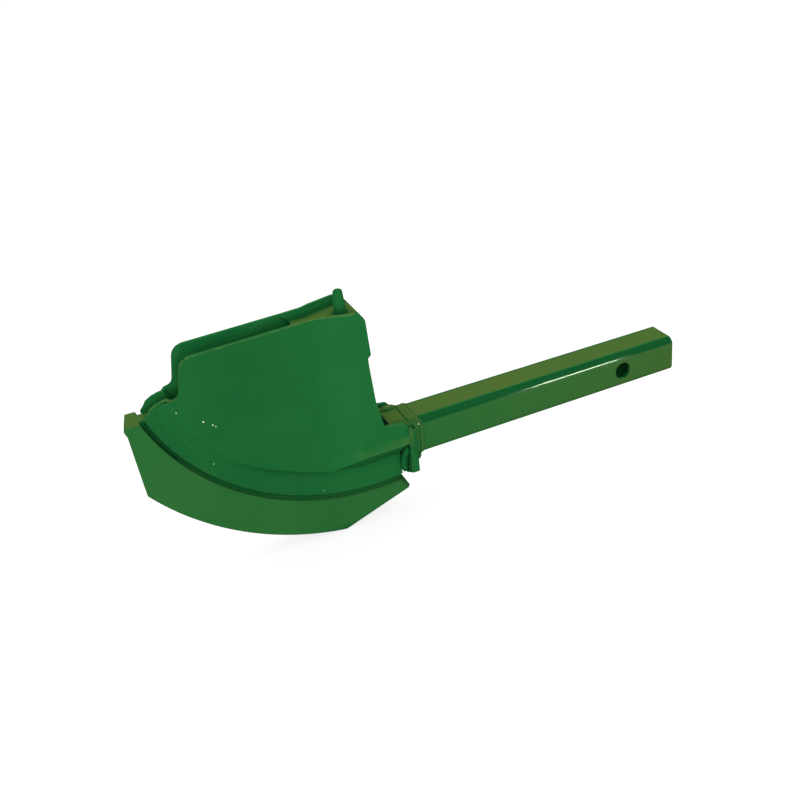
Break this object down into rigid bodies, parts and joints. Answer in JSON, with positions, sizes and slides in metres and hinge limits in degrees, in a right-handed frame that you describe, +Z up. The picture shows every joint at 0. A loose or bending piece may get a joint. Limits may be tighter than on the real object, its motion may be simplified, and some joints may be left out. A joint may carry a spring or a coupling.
{
  "type": "overseeder coulter",
  "caption": "Welded seeding coulter: square shank with cross-bolt hole, flared sheet cheeks open at the top, hose post and thick curved runner blade.",
  "frame": {"origin": "centre of the cross-bolt hole, on the axis of the square shank", "axes": "+X along the shank, from the body towards the bolt end; +Y along the bolt hole, from the near side to the far side; +Z up, square to the shank"},
  "size_m": [0.4256, 0.0408, 0.1861],
  "materials": {
    "green_paint": "satin green enamel over steel",
    "painted_weld": "satin green enamel over weld beads"
  },
  "bodies": {
    "root": {"shank_tube": "green_paint", "collar_plate": "green_paint", "runner_blade": "green_paint", "throat_plate": "green_paint", "rear_wall": "green_paint", "hose_post": "green_paint", "near_cheek": "green_paint", "far_cheek": "green_paint", "post_bead": "painted_weld", "collar_bead": "painted_weld", "collar_foot_bead": "painted_weld", "wall_foot_bead": "painted_weld", "near_seam_bead": "painted_weld", "far_seam_bead": "painted_weld", "near_lap_bead": "painted_weld", "far_lap_bead": "painted_weld", "near_groove_bead": "painted_weld", "far_groove_bead": "painted_weld", "near_rear_bead": "painted_weld", "far_rear_bead": "painted_weld"}
  },
  "joints": []
}
